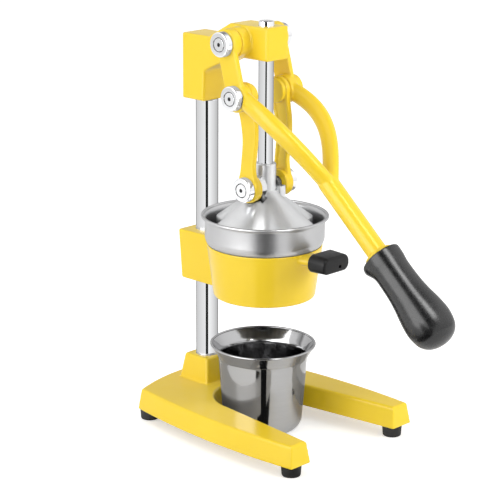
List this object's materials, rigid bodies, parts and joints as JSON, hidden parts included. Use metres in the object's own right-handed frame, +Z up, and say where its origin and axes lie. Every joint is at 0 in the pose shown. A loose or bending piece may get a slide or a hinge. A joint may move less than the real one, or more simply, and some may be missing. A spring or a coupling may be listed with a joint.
{
  "type": "lever citrus juice press",
  "caption": "Lever citrus juice press: a forked lever and two links push a lobed plunger down into a strainer bowl above a loose steel cup.",
  "frame": {"origin": "middle of the footprint's bounding box, on the table", "axes": "+Z up, -Y to the front where the lever's grip is, +X to the right seen from the front"},
  "size_m": [0.1802, 0.3446, 0.4046],
  "materials": {
    "yellow_paint": "smooth gloss paint over a casting",
    "chrome": "bright chrome plating",
    "brushed_steel": "spun and brushed stainless steel",
    "cast_aluminium": "polished casting",
    "plain_steel": "plain steel fasteners and pins",
    "black_plastic": "smooth satin black",
    "black_rubber": "matt black rubber"
  },
  "bodies": {
    "frame": {"base_casting": "yellow_paint", "foot_front_left": "black_rubber", "foot_screw_front_left": "plain_steel", "foot_front_right": "black_rubber", "foot_screw_front_right": "plain_steel", "foot_rear_left": "black_rubber", "foot_screw_rear_left": "plain_steel", "foot_rear_right": "black_rubber", "foot_screw_rear_right": "plain_steel", "column": "chrome", "column_washer": "plain_steel", "column_bolt": "plain_steel", "ring_bracket": "yellow_paint", "ring_set_screw": "plain_steel", "ring_knob": "black_plastic", "ring_knob_screw": "plain_steel", "bowl": "brushed_steel", "strainer": "brushed_steel", "head_casting": "yellow_paint", "head_set_screw": "plain_steel", "head_axle": "plain_steel", "head_cap_left": "chrome", "head_cap_right": "chrome", "head_cap_screw_left": "chrome", "head_cap_screw_right": "chrome"},
    "lever": {"lever_yoke": "yellow_paint", "handle_grip": "black_plastic", "elbow_pin_left": "plain_steel", "elbow_pin_right": "plain_steel", "elbow_cap_left": "chrome", "elbow_cap_right": "chrome", "elbow_cap_screw_left": "chrome", "elbow_cap_screw_right": "chrome"},
    "plunger": {"plunger": "cast_aluminium", "guide_rod": "chrome", "guide_rod_bolt": "plain_steel", "link_pin_left": "plain_steel", "link_pin_right": "plain_steel", "link_cap_left": "chrome", "link_cap_right": "chrome", "link_cap_screw_left": "chrome", "link_cap_screw_right": "chrome"},
    "link_left": {"link_left": "yellow_paint"},
    "link_right": {"link_right": "yellow_paint"},
    "cup": {"juice_cup": "brushed_steel"}
  },
  "joints": [
    {"name": "lever_swing", "type": "hinge", "parent": "frame", "child": "lever", "pos_m": [0, 0.07523, 0.38437], "axis": [-1, 0, 0], "range_deg": [0, 100]},
    {"name": "plunger_slide", "type": "slide", "parent": "frame", "child": "plunger", "axis": [0, 0, 1], "range_m": [0, 0.07572]},
    {"name": "link_left_swing", "type": "hinge", "parent": "plunger", "child": "link_left", "pos_m": [0, 0.05603, 0.2464], "axis": [1, 0, 0], "range_deg": [0, 21.15]},
    {"name": "link_right_swing", "type": "hinge", "parent": "plunger", "child": "link_right", "pos_m": [0, 0.05603, 0.2464], "axis": [1, 0, 0], "range_deg": [0, 21.15]},
    {"name": "cup_slide", "type": "slide", "parent": "frame", "child": "cup", "axis": [0, -1, 0], "range_m": [0, 0.2]}
  ],
  "couplings": [
    {"joint": "plunger_slide", "follows": "lever_swing", "m_per_rad": 0.043327},
    {"joint": "link_left_swing", "follows": "lever_swing", "ratio": 0.21097},
    {"joint": "link_right_swing", "follows": "lever_swing", "ratio": 0.21097}
  ]
}
